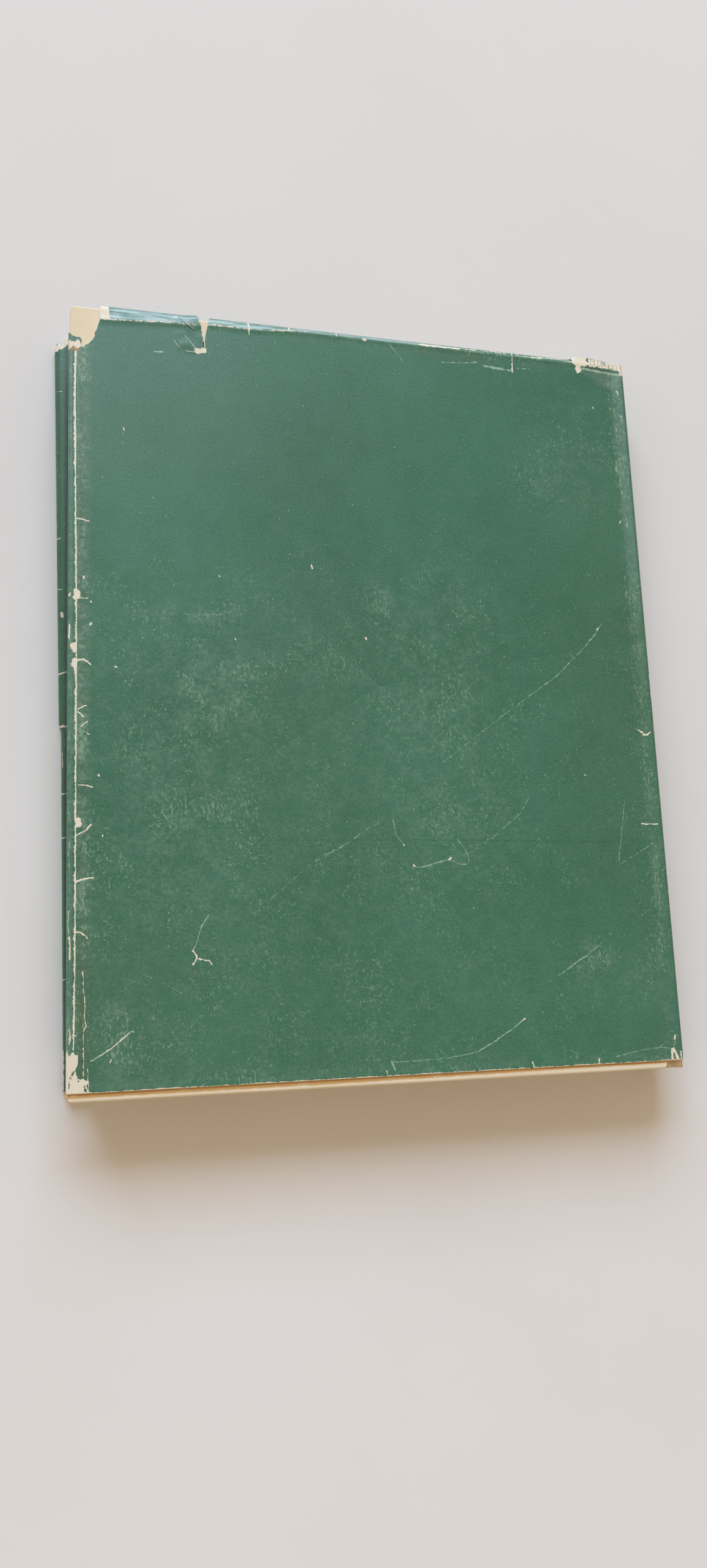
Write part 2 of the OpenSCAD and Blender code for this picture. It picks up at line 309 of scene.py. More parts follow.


# Wear and painted shade of the jacket's back panel: strength, width in mm, then the line's places in mm on
# the panel
paleScratches = [
    (0.48, 0.42, (-42, -71), (-23.3, -55.5)),
    (0.58, 0.42, (-23.3, -55.5), (-11.9, -49.6), (-5.5, -45), (-2.2, -43.7)),
    (0.60, 0.42, (2.6, -42.4), (3.4, -47.2), (5.9, -50.6)),
    (0.68, 0.44, (8.5, -56.2), (8.9, -57.1), (11.2, -57.1), (16.9, -55.6), (20.5, -54.8)),
    (0.50, 0.40, (20.5, -54.8), (27.9, -52.4), (34.9, -48.2)),
    (0.58, 0.42, (34.9, -48.2), (45, -40.2), (48.4, -35.1)),
    (0.50, 0.40, (13.5, -56.4), (15.7, -57.8)),
    (0.64, 0.42, (23.2, -48.2), (26.3, -52.9), (26.7, -54.8), (26.1, -56.3), (24, -56.4), (20.5, -55)),
    (0.42, 0.45, (17, -57.7), (16, -71.6)),
    (0.42, 0.45, (19.9, -56.7), (18.1, -61.6), (17.6, -64.4)),
    (0.36, 0.40, (17.3, -34.2), (17, -42.6)),
    (0.62, 0.55, (78.9, 24.2), (75.8, 19.9), (72.3, 16.1)),
    (0.58, 0.50, (72.3, 16.1), (61.3, 5.6), (46, -5)),
    (0.52, 0.50, (46, -5), (20, -24)),
    (0.44, 0.34, (51.2, -93), (54, -91.5)),
    (0.60, 0.38, (54, -91.5), (57.4, -89.6)),
    (0.80, 0.46, (57.4, -89.6), (61.6, -86.8), (64.4, -85.5)),
    (0.60, 0.42, (64.4, -85.5), (70, -81.4)),
    (0.48, 0.36, (70, -81.4), (74, -78.2)),
    (0.60, 0.42, (-1.4, -114.6), (0.3, -115), (13.1, -114.8), (20.3, -114.2), (26.2, -113.1)),
    (0.72, 0.46, (26.2, -113.1), (32.4, -110), (38.1, -106.7), (42, -104.1)),
    (0.85, 0.50, (-1.4, -114.6), (-0.4, -117.3)),
    (0.50, 0.40, (2.8, -117), (5.9, -116.2)),
    (0.40, 0.45, (22.7, -112.1), (33.1, -105.2)),
    (0.98, 0.36, (-88.2, -110.3), (-85.6, -109), (-81.3, -106.1), (-77.1, -102.6)),
    (0.50, 0.40, (-75.8, -102), (-73.9, -101)),
    (0.66, 0.44, (-54.7, -70.4), (-57, -74), (-58.7, -79.2), (-59.6, -80.8)),
    (0.48, 0.40, (-56.4, -75.3), (-53.4, -75.5), (-50.5, -76.8)),
    (0.50, 0.40, (-75.4, -86.3), (-68.1, -89.5), (-62.8, -92.7)),
    (0.50, 0.40, (-79.9, -87.8), (-72.9, -90)),
    (0.52, 0.45, (-76, -59.3), (-78.2, -60.7)),
    (0.46, 0.40, (-72.3, -43.4), (-71.2, -39.7)),
    (0.36, 2.20, (-76.2, 21), (-58.9, 20.4), (-42.1, 21.3)),
    (0.62, 0.42, (71.8, -116.9), (75.4, -116.2), (80.9, -115.3), (87.1, -114.8), (92.6, -115.4)),
    (0.62, 0.42, (87.1, -114.8), (89.2, -113.2)),
    (0.52, 0.40, (69.9, -87.3), (71.5, -88.6)),
    (0.60, 0.40, (93.1, -112.3), (92.5, -114.7)),
    (0.52, 0.42, (85.1, -10.1), (89.5, -12.1)),
    (0.56, 0.45, (82, -36), (78, -57), (91, -50)),
    (0.80, 0.46, (-62.5, 111.2), (-61.4, 109.5), (-59.4, 107.9), (-55.2, 107.7)),
    (0.76, 0.46, (-59.1, 113), (-57.6, 111.6), (-55.6, 108.6)),
    (0.66, 0.46, (-61.9, 119.9), (-59.2, 117.7), (-56.3, 115.9)),
    (0.62, 0.42, (9, 118.5), (11, 116), (13.6, 112.5)),
    (0.50, 0.40, (52.4, 111.3), (51.8, 107.5)),
    (0.52, 1.00, (27.5, 113.8), (33.3, 114.3), (40.5, 115.3)),
    (0.66, 1.20, (42.4, 114.3), (47.7, 113.9), (52.6, 113.5)),
    (0.48, 1.00, (54.1, 114.7), (60.8, 114.9)),
    (0.70, 0.70, (-68.6, 106.4), (-66.1, 106.7)),
    (0.40, 0.45, (80.2, 114.8), (83.9, 112.1), (87.1, 110.8), (89.7, 110.6)),
    (0.74, 0.95, (79.1, 117.6), (86.6, 116.8), (93.9, 116.7)),
    (0.74, 1.10, (60.5, 119.3), (65.5, 120), (71.5, 120.3)),
    (0.62, 0.90, (93.3, 101), (93.4, 99.2)),
    (0.60, 0.80, (91, 96), (91.1, 95)),
    (0.56, 1.00, (89.8, 83), (89.6, 80)),
    (0.56, 0.90, (91.2, 73), (91, 71)),
    (0.52, 1.00, (92, 63), (92.1, 59)),
    (0.60, 0.60, (89.3, 41.8), (89.2, 40.8)),
    (0.60, 0.60, (89.4, 36.4), (89, 34.6)),
    (0.70, 0.60, (-94.3, -68.5), (-94.7, -72.6), (-94.3, -75)),
    (0.60, 0.50, (-94.1, -49), (-94.5, -52.5), (-94.2, -58)),
]
foreCracks = [
    (0.90, 0.72, (-92.9, 104), (-93.1, 88), (-92.9, 66)),
    (0.88, 0.52, (-92.9, 66), (-92.5, 26), (-92.5, 0), (-92.6, -45), (-92.7, -85), (-93, -107)),
    (1.00, 2.00, (-92.3, 25.7), (-92.3, 24.4)),
    (1.00, 1.70, (-93.3, 9.4), (-93, 7.8)),
    (1.00, 1.60, (-92.9, 4.8), (-93, 3)),
    (1.00, 1.90, (-92, -43), (-91.8, -44.1)),
    (0.82, 0.42, (-92.2, 49), (-88.8, 48.2)),
    (0.82, 0.42, (-91.5, 23.8), (-89.2, 24)),
    (0.90, 0.46, (-92.6, 4.5), (-90.4, 5.1), (-89.2, 4.4), (-88.3, 3.5)),
    (0.80, 0.42, (-92, -10.1), (-89.4, -8.8)),
    (0.80, 0.42, (-92, -11), (-90.3, -12.4)),
    (0.76, 0.40, (-91.2, -15.2), (-89.2, -13.7)),
    (0.72, 0.40, (-90.5, -16.6), (-88.6, -17.7)),
    (0.86, 0.42, (-91.8, -32.6), (-89.4, -32.7), (-87.9, -33.2)),
    (0.86, 0.42, (-92.4, -47.3), (-89.6, -45.7), (-88.1, -44.1)),
    (0.90, 0.50, (-92.4, -60.4), (-90.4, -59.8), (-87.7, -59.4)),
    (0.82, 0.42, (-92.3, -74.7), (-90.8, -74.9), (-89.3, -76.5)),
    (0.62, 0.38, (-90.4, -85.9), (-90.3, -90.5), (-89.8, -93.6), (-90, -98.1)),
    (0.62, 0.38, (-90, -98.1), (-89.5, -100.7), (-90.3, -102.1), (-90.2, -114.3)),
    (0.86, 0.50, (-94.2, -76), (-94, -82)),
    (0.70, 0.40, (-94.4, -101.5), (-93.8, -103.4), (-94.1, -105.5)),
    (0.66, 0.40, (-89.1, -112.5), (-88.9, -118.3)),
    (0.88, 0.46, (-92.5, -115), (-91.4, -115.1), (-90.3, -116.4), (-88.9, -118.6)),
    (0.62, 0.40, (-92.1, -103.1), (-93.6, -103.2), (-94.3, -104.1)),
    (0.85, 0.80, (-90.4, 30.6), (-90.5, 30.2)),
    (0.85, 0.75, (-88.3, 23.1), (-88.4, 22.8)),
    (0.80, 0.70, (-88.3, 16.2), (-88.4, 15.9)),
    (0.85, 0.60, (-94.4, 25.6), (-94.5, 24.6)),
    (0.85, 0.60, (-94.4, 15.6), (-94.6, 11.4)),
]
panelCracks = [
    (0.95, 0.51, (20.2, -55), (20.7, -54.4)),
    (0.92, 0.41, (8.5, -56.4), (8.8, -56.9)),
    (0.85, 0.37, (5.6, -50.2), (5.9, -50.6)),
    (0.90, 0.41, (41.2, -104.6), (42, -104.1)),
    (0.92, 0.55, (-59.6, -80.8), (-58.4, -82.5), (-58.8, -83.4), (-59.6, -84.6)),
    (0.80, 0.55, (-58, -83.1), (-54.8, -83.8), (-54.2, -84.8)),
    (0.92, 0.48, (77.6, 22.6), (77.2, 22)),
    (0.88, 0.55, (89.5, -12.1), (90.8, -12.7), (91.2, -13.5), (92.6, -13.5), (93.6, -12.6)),
    (0.85, 0.50, (87.5, -43.5), (93.5, -43.5)),
    (0.90, 0.48, (-20.3, 38.6), (-20, 37.6)),
    (0.85, 0.44, (-78.5, 79.6), (-78.3, 78.9)),
    (0.80, 0.48, (-45.2, 13.3), (-45, 13)),
    (0.75, 0.41, (-49.7, 33.4), (-49.5, 33)),
    (0.85, 0.60, (-3.6, 15.6), (-3.4, 15)),
    (0.80, 0.48, (-81.3, 3.2), (-80.8, 3.1)),
    (0.80, 0.44, (-85.9, -29.3), (-86, -30.1)),
    (0.85, 0.51, (-85, -47.1), (-85.1, -47.5)),
    (0.85, 0.44, (68.4, -27.5), (68.8, -27.7)),
    (0.75, 0.41, (-82.6, -110.3), (-83, -111.1)),
    (0.78, 0.30, (-85.8, -109.1), (-81.3, -106.1), (-77.8, -103.3)),
    (0.85, 0.41, (-76.9, -102.6), (-76.5, -103)),
    (0.80, 0.58, (82.5, 103.2), (82.7, 102.8)),
    (0.80, 0.68, (92.6, 110.2), (92.9, 109.2)),
    (0.80, 0.44, (57.1, 83.2), (57.3, 83)),
    (0.88, 0.55, (-38.5, 120.7), (-38.4, 116.3)),
    (0.85, 0.45, (-25, 121), (-25.1, 119.3)),
    (0.80, 0.45, (-9.1, 120.4), (-9.1, 118.9)),
    (0.92, 1.00, (0.3, 118.9), (0.8, 118.9)),
    (0.86, 0.90, (19.8, 119.5), (27.8, 119.5), (34.1, 119.6)),
    (0.60, 0.90, (34.1, 119.8), (52, 120)),
    (0.66, 0.55, (54.5, 119.9), (59.9, 119.4), (63.4, 119.5), (70.5, 120), (75.9, 119.4)),
    (0.78, 0.50, (53.3, 120.5), (53, 112.8)),
    (1.00, 1.70, (-55, 108.1), (-53.1, 108.6)),
    (0.86, 0.60, (-54.3, 119), (-53.5, 115.5), (-53.1, 112)),
    (0.90, 0.48, (89.2, 61.6), (89.2, 61)),
    (1.00, 0.85, (91.9, -115.3), (91.4, -117.1), (91.4, -119.2)),
    (1.00, 0.85, (92.1, -115.3), (93.1, -117.8), (93.6, -119.3)),
    (0.90, 0.44, (93.2, -111.4), (93.1, -112.3)),
    (0.70, 0.90, (94.6, -116.4), (94.4, -118.5)),
    (1.00, 1.40, (95.8, -118.9), (96.4, -119)),
    (0.82, 0.55, (65.9, -117.3), (65.5, -119.2)),
    (0.80, 0.34, (81.3, -118.4), (81.8, -119.2)),
    (0.72, 0.45, (-3, -117.3), (-2.9, -119.2)),
    (0.82, 0.50, (43.6, -117), (44, -118.9)),
    (1.00, 0.75, (95.6, 7), (95.8, 3), (95.6, -0.5)),
]
# Painted shade: dark lines in creases, beside the torn notch's folds, in the slit under the head chip and
# along its top
shadeLines = [
    (0.45, 0.60, (-40, -48.6), (30, -48.8), (79, -49.5)),
    (0.50, 0.42, (-93.7, 104), (-93.8, 88), (-93.6, 66)),
    (0.75, 0.50, (81.3, 118.1), (86.7, 117.9), (94, 117.6)),
    (0.60, 0.32, (83, 118.9), (83.2, 121.4)),
    (0.65, 0.36, (84.3, 118.9), (84.4, 121.2)),
    (0.60, 0.32, (85.7, 119.3), (85.8, 121.1)),
    (0.65, 0.40, (87.3, 118.8), (87.4, 120.7)),
    (0.60, 0.32, (88.6, 119.2), (88.8, 121)),
    (0.65, 0.34, (90.1, 118.7), (90.3, 120.3)),
    (0.60, 0.36, (91.8, 118.8), (91.9, 120.6)),
    (0.60, 0.32, (93.1, 118.6), (93.2, 119.8)),
    (0.70, 0.55, (82.2, 121.7), (87.4, 121.2), (90.9, 120.8)),
    (0.80, 0.60, (-61, 119.2), (-58.6, 116.9), (-56, 115.2)),
    (0.75, 0.55, (-61.9, 110.9), (-60.8, 109.2), (-58.8, 107.4), (-55.2, 107.1)),
    (0.70, 0.55, (-58.5, 112.9), (-57, 111.5), (-55, 109.2)),
]

# Cracks across the front cover's fold, which stands out past the back cover's
frontCracks = [
    (0.60, 0.45, (-99.2, 99.4), (-101.8, 99.2)),
    (0.80, 0.40, (-98.2, 49.4), (-100.4, 49.3)),
    (0.72, 0.45, (-98.2, 32.9), (-100.6, 32.5)),
    (0.90, 0.95, (-100.2, 24.9), (-100.3, 23.7)),
    (0.95, 0.55, (-97.8, 5.4), (-101.4, 5.8)),
    (1.00, 0.70, (-97.2, -11), (-100.6, -11.3)),
    (0.90, 0.60, (-97.2, -11.2), (-97.3, -15.5)),
    (0.95, 0.50, (-96.9, -31.9), (-99.6, -32.1)),
    (0.95, 0.50, (-96.8, -45.6), (-99.4, -45.2)),
    (0.70, 0.40, (-98.2, -19), (-98.3, -24)),
    (0.80, 0.50, (-96.6, -87.5), (-98.9, -87.2)),
    (1.00, 1.80, (-97, -108), (-97.2, -121)),
]

# Colours of the jacket's print and paper, and how strongly its print is worn. The dark green paints shade as
# well as dark grain, the olive paints shade as well as grime, and the pale blue paints a sheen as well as
# fading
inks = {
    "deep": colour(42, 102, 77),
    "pale": colour(63, 122, 100),
    "fleck": colour(128, 162, 140),
    "rubbed": colour(132, 160, 142),
    "scratched": colour(168, 194, 174),
    "bare": colour(230, 221, 205),
    "stain": colour(170, 124, 84),
    "grime": colour(72, 92, 66),
    "dark": colour(34, 54, 42),
    "faded": colour(157, 182, 187),
    "inside": colour(226, 221, 206),
    "insideToned": colour(208, 196, 168),
}
printLook = {
    "scratchStray": 0.7 * mm,     # how far the edge of a scratch or of a line of painted shade strays
    "crackStray": 1.3 * mm,
    "cloudScale": 13.0,
    "cloudStrength": 0.55,
    "tailPaling": 0.28,           # the green is paler towards the tail
    "rubStrength": 0.7,
    "fleckStrength": 0.76,
    "leastFlecks": 0.05,
    "reliefDepth": 0.07 * mm,
}

# The back panel's print is one material a zone, because a shader holds only so many lines
backZones = {
    "jacketPrintForeTail": ((-300, -130), (-86, -8)),
    "jacketPrintForeHead": ((-300, -8), (-86, 130)),
    "jacketPrintHeadLeft": ((-86, 60), (0, 130)),
    "jacketPrintHeadRight": ((0, 60), (300, 130)),
    "jacketPrintLeft": ((-86, -130), (0, 60)),
    "jacketPrintMiddle": ((0, -80), (300, 60)),
    "jacketPrintTail": ((0, -130), (300, -80)),
}
sheetMarks = ("rubbed", "bared", "stained", "grimed", "darkened", "faded")


def lineMasks(tree, place, ragged, patchy, marks, lines, zone):
    # Scratches, cracks to the white core and lines of painted shade, each with a ragged edge
    uneven = minus(tree, ragged.outputs[0], 0.5)

    def shaken(amount):
        # The place, moved about on the sheet by up to half the amount
        shifted = vectors(tree, "ADD", place, scaled(tree, ragged.outputs[1], amount))[0]
        shifted = vectors(tree, "SUBTRACT", shifted, (amount / 2, amount / 2, 0.0))[0]
        return vectors(tree, "MULTIPLY", shifted, (1, 1, 0))[0]

    scratches, cracks, shadeList = lines
    line = wearAndShadeLines(tree, shaken(printLook["scratchStray"]), scratches, zone, 0.0)
    scratched = ramp(tree, addShare(tree, line, uneven, 1.1), 0.36, 0.66, 0.0, 0.8)
    line = wearAndShadeLines(tree, shaken(printLook["crackStray"]), cracks, zone, marks["bared"])
    torn = addShare(tree, line, uneven, 1.1)
    torn = addShare(tree, torn, minus(tree, patchy, 0.5), 0.7)
    bare = ramp(tree, torn, 0.44, 0.58)
    line = wearAndShadeLines(tree, shaken(printLook["scratchStray"]), shadeList, zone, marks["darkened"])
    dark = ramp(tree, addShare(tree, line, uneven, 0.6), 0.2, 0.8, 0.0, 0.8)
    return scratched, bare, dark


def agedGreenAndPaintedLight(tree, place, ragged, patchy, marks, fine):
    # The green under the lines: clouded, grimed and on the front fold darkened with painted shade, faded at
    # the head with a painted sheen, and rubbed in patches
    tailward = ramp(tree, axes(tree, place)[1], -0.4 * headY, -0.9 * headY, 0.0, printLook["tailPaling"])
    cloud = useGroup(tree, "mottle", place, printLook["cloudScale"], printLook["cloudStrength"])
    base = mixColour(tree, plus(tree, cloud, tailward, True), inks["deep"], inks["pale"])
    base = mixColour(tree, times(tree, fine, 0.4), base, inks["pale"])
    grime = times(tree, marks["grimed"], ramp(tree, patchy, 0.3, 0.65, 0.45, 1.0), True)
    base = mixColour(tree, grime, base, inks["grime"])
    # Painted sheen: a pale blue streaked along the head's bend, standing for reflection as well as sun
    # fading
    sheenStreaks = cloudy(tree, stretched(tree, place, (0.14, 1.0, 1.0)), 900.0, 3.0)
    sheenStreaks = ramp(tree, sheenStreaks, 0.38, 0.6, 0.75, 0.0)
    sheenStreaks = times(tree, sheenStreaks, ramp(tree, marks["faded"], 0.15, 0.4))
    sheen = times(tree, marks["faded"], minus(tree, 1.0, sheenStreaks), True)
    base = mixColour(tree, sheen, base, inks["faded"])
    rubMask = times(tree, marks["rubbed"], ramp(tree, patchy, 0.36, 0.66, 0.2, 1.0))
    rubMask = times(tree, rubMask, ramp(tree, ragged.outputs[0], 0.32, 0.64, 0.15, 1.0), True)
    base = mixColour(tree, times(tree, rubMask, printLook["rubStrength"]), base, inks["rubbed"])
    return base, rubMask


def jacketPrint(name, scratches=(), cracks=(), shadeList=(), zone=((0, 0), (0, 0))):
    # Printed side of the jacket paper, rubbed, faded and cracked to its white core, with painted shade and a
    # painted sheen
    material, tree, shader = newMaterial(name, rough=0.4, specular=0.6)
    place = sheetPlace(tree)
    marks = {label: attribute(tree, label) for label in sheetMarks}
    patchy = cloudy(tree, place, 190.0, 5.0, 0.65)
    ragged = cloudNode(tree, place, 620.0, 5.0, 0.7)
    lines = (scratches, cracks, shadeList)
    scratched, bare, dark = lineMasks(tree, place, ragged, patchy, marks, lines, zone)
    fine = useGroup(tree, "mottle", place, 110.0, 0.4)
    base, rubMask = agedGreenAndPaintedLight(tree, place, ragged, patchy, marks, fine)
    grain = cloudy(tree, place, 1700.0, 3.0, 0.7)
    base = mixColour(tree, ramp(tree, grain, 0.5, 0.72, 0.0, 0.26), base, inks["fleck"])
    base = mixColour(tree, ramp(tree, grain, 0.5, 0.3, 0.0, 0.28), base, inks["dark"])
    flecks = useGroup(tree, "flecks", place, addShare(tree, printLook["leastFlecks"], marks["rubbed"], 0.9))
    base = mixColour(tree, times(tree, flecks, printLook["fleckStrength"]), base, inks["fleck"])
    toned = ramp(tree, addShare(tree, marks["stained"], patchy, 0.5), 0.6, 1.0)
    # Of these masks, the dark one is painted shade
    for mask, ink in ((scratched, "scratched"), (bare, "bare"), (dark, "dark"), (toned, "stain")):
        base = mixColour(tree, mask, base, inks[ink])

    rough = addShare(tree, times(tree, rubMask, 0.2), fine, 0.12)
    rough = plus(tree, addShare(tree, rough, bare, 0.3), 0.38)
    rough = minus(tree, rough, times(tree, marks["faded"], 0.1), True)
    height = addShare(tree, times(tree, grain, 0.5), patchy, 0.8)
    finish(tree, shader, base, height, printLook["reliefDepth"], rough)
    return material


def jacketInside():
    material, tree, shader = newMaterial("jacketInside", rough=0.7, specular=0.3)
    place = sheetPlace(tree)
    toned = useGroup(tree, "mottle", place, 24.0, 0.6)
    base = mixColour(tree, toned, inks["inside"], inks["insideToned"])
    finish(tree, shader, base, cloudy(tree, place, 1500.0), 0.03 * mm)
    return material


def tornFibre():
    # Cut and torn edges of the paper
    material, tree, shader = newMaterial("tornFibre", rough=0.8, specular=0.2)
    grain = cloudy(tree, sheetPlace(tree), 1400.0, 4.0, 0.7)
    base = mixColour(tree, ramp(tree, grain, 0.3, 0.6), inks["insideToned"], inks["bare"])
    finish(tree, shader, base, grain, 0.04 * mm)
    return material


clothLook = {
    "threads": 2600.0,              # a metre
    "stainStart": 1.3 * mm,         # an ochre band, toning and painted shadow of the jacket's lifted edge, starts here, in from the tail
    "stainSoft": 0.45 * mm,
    "stainStray": 0.7 * mm,         # how far its edge strays
    "stainSlope": 0.5 * mm,         # it starts this much further in at the spine
    "stainEnd": (9 * mm, 14 * mm),  # it fades out between these
}


def bookCloth(name, findPlace, toneAndShade):
    material, tree, shader = newMaterial(name, rough=0.75, specular=0.25, sheen=0.15)
    place = findPlace(tree)
    across, along = axes(tree, place)[:2]
    toned = useGroup(tree, "mottle", place, 60.0, 0.55)
    base = mixColour(tree, toned, colour(234, 222, 200), colour(222, 204, 174))
    # Ochre band by the tail: toning and painted shadow of the jacket's edge, weaker on the spine
    shaken = addShare(tree, along, cloudy(tree, place, 420.0), clothLook["stainStray"])
    shaken = minus(tree, shaken, ramp(tree, across, -0.02, 0.09, 0.0, clothLook["stainSlope"]))
    low = tailY + clothLook["stainStart"]
    ochre = ramp(tree, shaken, low, low + clothLook["stainSoft"])
    low, high = (tailY + reach for reach in clothLook["stainEnd"])
    ochre = times(tree, ochre, ramp(tree, along, low, high, 1.0, 0.0))
    uneven = ramp(tree, cloudy(tree, place, 160.0), 0.2, 0.55, 0.7 * toneAndShade, toneAndShade)
    base = mixColour(tree, times(tree, ochre, uneven), base, colour(204, 163, 108))
    finish(tree, shader, base, useGroup(tree, "weave", place, clothLook["threads"]), 0.04 * mm)
    return material


def pageEdges():
    material, tree, shader = newMaterial("pageEdges", rough=0.85, specular=0.2)
    place = objectPlace(tree)
    sheets = cloudy(tree, stretched(tree, place, (0.08, 0.08, 26.0)), 260.0, 6.0, 0.75)
    sections = cloudy(tree, stretched(tree, place, (0.05, 0.05, 12.0)), 60.0, 2.0, 0.5)
    foxed = useGroup(tree, "mottle", place, 45.0, 0.5)
    base = mixColour(tree, ramp(tree, sheets, 0.3, 0.7), colour(196, 178, 140), colour(232, 220, 190))
    dark = times(tree, ramp(tree, sections, 0.5, 0.62), 0.35)
    base = mixColour(tree, dark, base, colour(170, 148, 108))
    base = mixColour(tree, times(tree, foxed, 0.5), base, colour(206, 184, 140))
    finish(tree, shader, base, sheets, 0.12 * mm, strength=0.8)
    return material


def plainPaper(name, light, dark, grain, findPlace=objectPlace):
    material, tree, shader = newMaterial(name, rough=0.8, specular=0.25)
    place = findPlace(tree)
    base = mixColour(tree, useGroup(tree, "mottle", place, 30.0, 0.6), light, dark)
    specks = times(tree, ramp(tree, cloudy(tree, place, 900.0, 2.0, 0.5), 0.66, 0.74), 0.25)
    base = mixColour(tree, specks, base, colour(150, 120, 80))
    finish(tree, shader, base, cloudy(tree, place, grain), 0.03 * mm)
    return material


bandLook = {"stripe": 1.2 * mm, "thread": 0.3 * mm}


def bandSilk():
    material, tree, shader = newMaterial("bandSilk", rough=0.5, specular=0.4, sheen=0.3)
    height = axes(tree, objectPlace(tree))[2]

    def wave(pitch):
        return maths(tree, "SINE", times(tree, height, 2 * math.pi / pitch))

    stripe, thread = wave(bandLook["stripe"]), wave(bandLook["thread"])
    base = mixColour(tree, ramp(tree, stripe, -0.15, 0.15), colour(214, 200, 160), colour(92, 128, 104))
    finish(tree, shader, base, thread, 0.06 * mm)
    return material


def spineGauze():
    material, tree, shader = newMaterial("spineGauze", rough=0.9, specular=0.2)
    weave = useGroup(tree, "weave", objectPlace(tree), 900.0)
    base = mixColour(tree, ramp(tree, weave, 0.9, 2.2), colour(168, 146, 104), colour(228, 216, 186))
    finish(tree, shader, base, weave, 0.1 * mm, strength=0.7)
    return material


def greyBoard():
    material, tree, shader = newMaterial("greyBoard", rough=0.85, specular=0.2)
    fibre = cloudy(tree, objectPlace(tree), 700.0, 5.0, 0.7)
    base = mixColour(tree, ramp(tree, fibre, 0.35, 0.65), colour(128, 118, 102), colour(158, 148, 130))
    finish(tree, shader, base, fibre, 0.08 * mm)
    return material


endpaperTones = (colour(228, 220, 200), colour(214, 200, 168), 1300.0)
finishes = {
    "printFront": jacketPrint("jacketPrintFront", cracks=frontCracks, zone=((-120, -130), (-90, 130))),
    "inside": jacketInside(),
    "fibre": tornFibre(),
    "cloth": bookCloth("bookCloth", objectPlace, 1.0),
    "spineCloth": bookCloth("spineCloth", sheetPlace, 0.35),
    "pages": pageEdges(),
    "endpaper": plainPaper("endpaperStock", *endpaperTones),
    "endpaperStrip": plainPaper("endpaperStrip", *endpaperTones, sheetPlace),
    "kraft": plainPaper("kraftLining", colour(166, 130, 90), colour(146, 110, 72), 700.0),
    "band": bandSilk(),
    "gauze": spineGauze(),
    "board": greyBoard(),
}
for zoneName, zoneBox in backZones.items():
    finishes[zoneName] = jacketPrint(zoneName, paleScratches, foreCracks + panelCracks, shadeLines, zoneBox)
print("materials made:", len(finishes))

# Solids that keep their own shape and take a finish
solidFinishes = {
    "text_block": "pages", "front_flyleaf": "endpaper", "back_flyleaf": "endpaper",
    "front_pastedown": "endpaper", "back_pastedown": "endpaper", "head_band": "band", "tail_band": "band",
    "spine_mull": "gauze", "spine_lining": "kraft", "front_board": "board", "back_board": "board",
    "front_cloth": "cloth", "back_cloth": "cloth",
}
for nodeName, finishName in solidFinishes.items():
    nodes[nodeName].data.materials.clear()
    nodes[nodeName].data.materials.append(finishes[finishName])
print("solids finished:", len(solidFinishes))


# Sheets: a flat grid is cut to its outline, then laid along a path round the book

def stations(*runs):
    values = []
    for start, end, step in runs:
        count = max(1, round(abs(end - start) / step))
        values += [start + (end - start) * k / count for k in range(count)]
    return values + [runs[-1][1]]


def flatGrid(us, vs):
    bm = bmesh.new()
    bmesh.ops.create_grid(bm, x_segments=len(us) - 1, y_segments=len(vs) - 1, size=0.5)
    for vert in bm.verts:
        column = round((vert.co.x + 0.5) * (len(us) - 1))
        row = round((vert.co.y + 0.5) * (len(vs) - 1))
        vert.co = (us[column], vs[row], 0)
    return bm


def insideOutline(point, outline):
    inside = False
    for a, b in zip(outline, outline[1:] + outline[:1]):
        if (a[1] > point.y) != (b[1] > point.y):
            if point.x < (b[0] - a[0]) * (point.y - a[1]) / (b[1] - a[1]) + a[0]:
                inside = not inside
    return inside


def raggedLine(points, step, amount, seed):
    line = []
    for a, b in zip(points, points[1:]):
        a, b = Vector(a), Vector(b)
        across = Vector((b.y - a.y, a.x - b.x)).normalized()
        count = max(1, round((b - a).length / step))
        for k in range(count):
            p = a.lerp(b, k / count)
            shift = 0 if k == 0 else amount * ripple(p.x, p.y, 1.3 * step, seed)
            line.append(tuple(p + across * shift))
    return line + [tuple(points[-1])]


def cutAway(bm, outline):
    # Cuts the faces along the outline, then deletes what lies inside it
    outline = [(x * mm, y * mm) for x, y in outline]
    for a, b in zip(outline, outline[1:] + outline[:1]):
        lowX, highX = min(a[0], b[0]) - mm, max(a[0], b[0]) + mm
        lowY, highY = min(a[1], b[1]) - mm, max(a[1], b[1]) + mm
        near = []
        for face in bm.faces:
            spots = [vert.co for vert in face.verts]
            if max(p.x for p in spots) > lowX and min(p.x for p in spots) < highX:
                if max(p.y for p in spots) > lowY and min(p.y for p in spots) < highY:
                    near.append(face)
        across = Vector((b[1] - a[1], a[0] - b[0], 0))
        if near and across.length > 0:
            parts = set(near)
            for face in near:
                parts.update(face.edges)
                parts.update(face.verts)
            start = Vector((a[0], a[1], 0))
            across.normalize()
            bmesh.ops.bisect_plane(bm, geom=list(parts), dist=1e-7, plane_co=start, plane_no=across)
    gone = [face for face in bm.faces if insideOutline(face.calc_center_median(), outline)]
    bmesh.ops.delete(bm, geom=gone, context="FACES")


def pathFinder(points):
    # Place on a line of (x, height) points, by the length run from its start
    runs = [0.0]
    for a, b in zip(points, points[1:]):
        runs.append(runs[-1] + math.dist(a, b))

    def at(s):
        k = min(max(bisect_right(runs, s) - 1, 0), len(points) - 2)
        t = (s - runs[k]) / (runs[k + 1] - runs[k])
        a, b = points[k], points[k + 1]
        return a[0] + (b[0] - a[0]) * t, a[1] + (b[1] - a[1]) * t

    return at, runs


def softPath(at, s, reach):
    # The mean of seven places within reach of s, which rounds the path's corners
    spots = [at(s + reach * k / 3) for k in (-3, -2, -1, 0, 1, 2, 3)]
    return sum(spot[0] for spot in spots) / 7, sum(spot[1] for spot in spots) / 7


